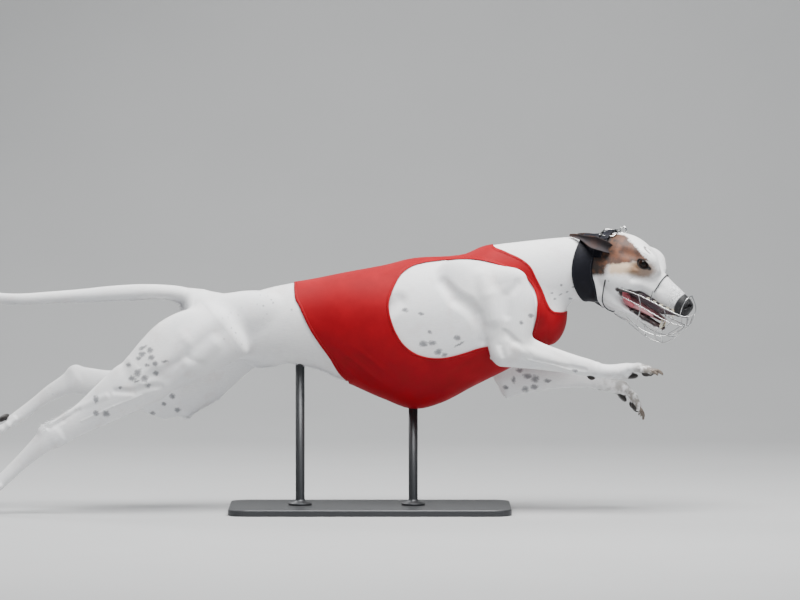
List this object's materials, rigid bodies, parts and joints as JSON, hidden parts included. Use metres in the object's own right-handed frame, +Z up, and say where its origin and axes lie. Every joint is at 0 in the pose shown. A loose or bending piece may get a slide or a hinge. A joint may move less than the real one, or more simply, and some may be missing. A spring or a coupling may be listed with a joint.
{
  "type": "racing greyhound in jacket and muzzle",
  "caption": "Life-size white racing greyhound stretched out at a gallop, in a red jacket, dark collar and wire muzzle, held by rods on a flat display base.",
  "frame": {"origin": "middle of the underside of the stand's base", "axes": "+X towards the dog's nose, +Z up, +Y to the dog's left"},
  "size_m": [1.6469, 0.3, 0.6293],
  "materials": {
    "coat": "short smooth fur, white with grey ticking and a brown patch at the eye",
    "ear_coat": "short dark brown fur",
    "nose_leather": "moist black nose leather",
    "tongue": "wet pink",
    "eye": "glossy dark brown",
    "jacket_cloth": "smooth stretch cloth",
    "black_leather": "slightly glossy",
    "steel_wire": "plated wire",
    "black_cord": "black coated wire and cord",
    "stand_steel": "satin dark grey"
  },
  "bodies": {
    "root": {"ear_right": "ear_coat", "eye_right": "eye", "ear_left": "ear_coat", "eye_left": "eye", "head": "coat", "jaw": "coat", "neck": "coat", "torso": "coat", "tail": "coat", "upper_arm_right": "coat", "forearm_right": "coat", "fore_paw_right": "coat", "thigh_right": "coat", "shank_right": "coat", "metatarsus_right": "coat", "hind_paw_right": "coat", "upper_arm_left": "coat", "forearm_left": "coat", "fore_paw_left": "coat", "thigh_left": "coat", "shank_left": "coat", "metatarsus_left": "coat", "hind_paw_left": "coat", "nose": "nose_leather", "tongue": "tongue", "jacket": "jacket_cloth", "collar": "black_leather", "muzzle_strap": "black_leather", "muzzle_basket": "steel_wire", "muzzle_buckle": "steel_wire", "muzzle_nose_wire": "black_cord", "muzzle_throat_cord": "black_cord", "stand_base": "stand_steel", "stand_rod_front": "stand_steel", "stand_rod_rear": "stand_steel"}
  },
  "joints": []
}
